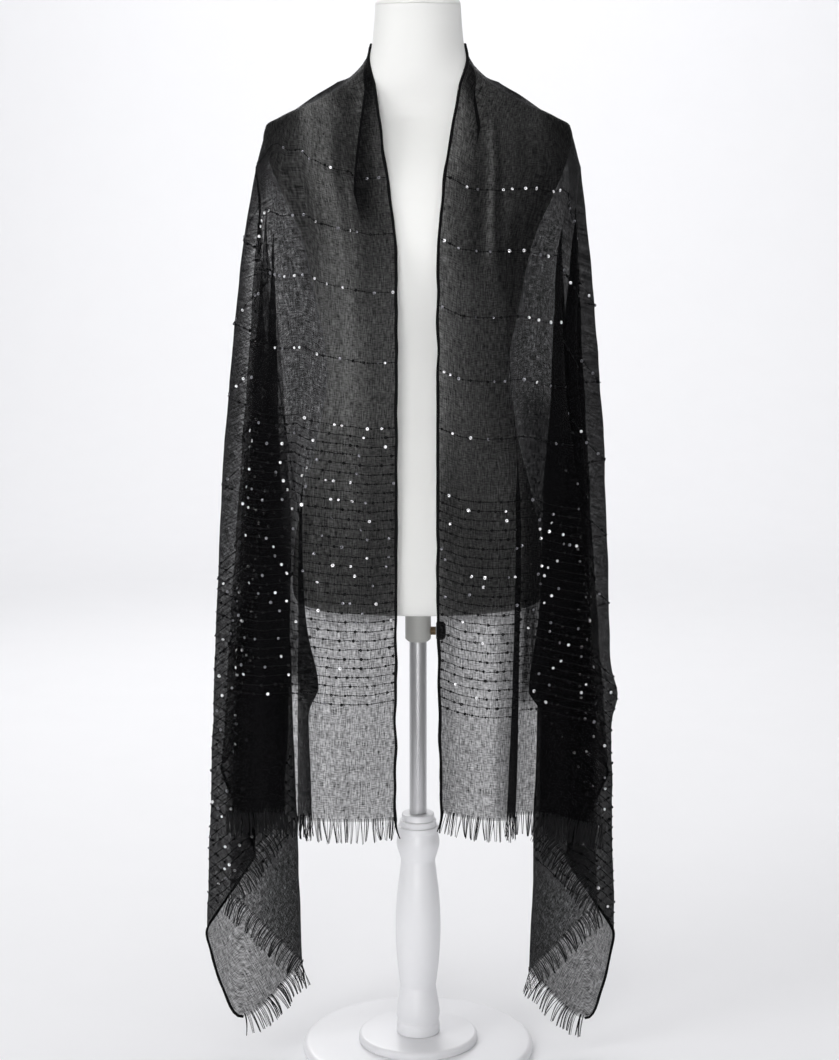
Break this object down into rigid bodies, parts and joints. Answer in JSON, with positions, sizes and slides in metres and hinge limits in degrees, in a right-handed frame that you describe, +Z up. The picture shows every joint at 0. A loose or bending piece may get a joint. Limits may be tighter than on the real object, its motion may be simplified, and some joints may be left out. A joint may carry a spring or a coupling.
{
  "type": "evening stole on dress form",
  "caption": "Sheer stole with sequin rows and fringed ends, laid round the neck of a limbless dress form on a clamped pole, turned column and round base.",
  "frame": {"origin": "centre of the round base's underside, on the floor", "axes": "+Z up the pole, -Y the way the form faces, +X to the viewer's right"},
  "size_m": [0.5228, 0.298, 1.3386],
  "materials": {
    "sheer_cloth": "sheer open weave, black",
    "form_shell": "smooth white",
    "cap_shell": "smooth white",
    "clamp_metal": "satin grey",
    "screw_metal": "dull",
    "knob_plastic": "black",
    "pole_metal": "satin",
    "lacquered_wood": "white lacquer"
  },
  "bodies": {
    "stand": {"base_disc": "lacquered_wood", "base_plinth": "lacquered_wood", "column": "lacquered_wood", "pole": "pole_metal"},
    "form": {"torso": "form_shell", "neck_cap": "cap_shell", "clamp_collar": "clamp_metal", "stole_left_front": "sheer_cloth", "stole_back": "sheer_cloth", "stole_right_front": "sheer_cloth", "fringe_left": "sheer_cloth", "fringe_right": "sheer_cloth"},
    "clamp": {"clamp_screw": "screw_metal", "clamp_knob": "knob_plastic"}
  },
  "joints": [
    {"name": "form_height", "type": "slide", "parent": "stand", "child": "form", "axis": [0, 0, 1], "range_m": [-0.015, 0.15]},
    {"name": "clamp_turn", "type": "hinge", "parent": "form", "child": "clamp", "pos_m": [0.0227, 0, 0.5535], "axis": [1, 0, 0], "continuous": true}
  ]
}
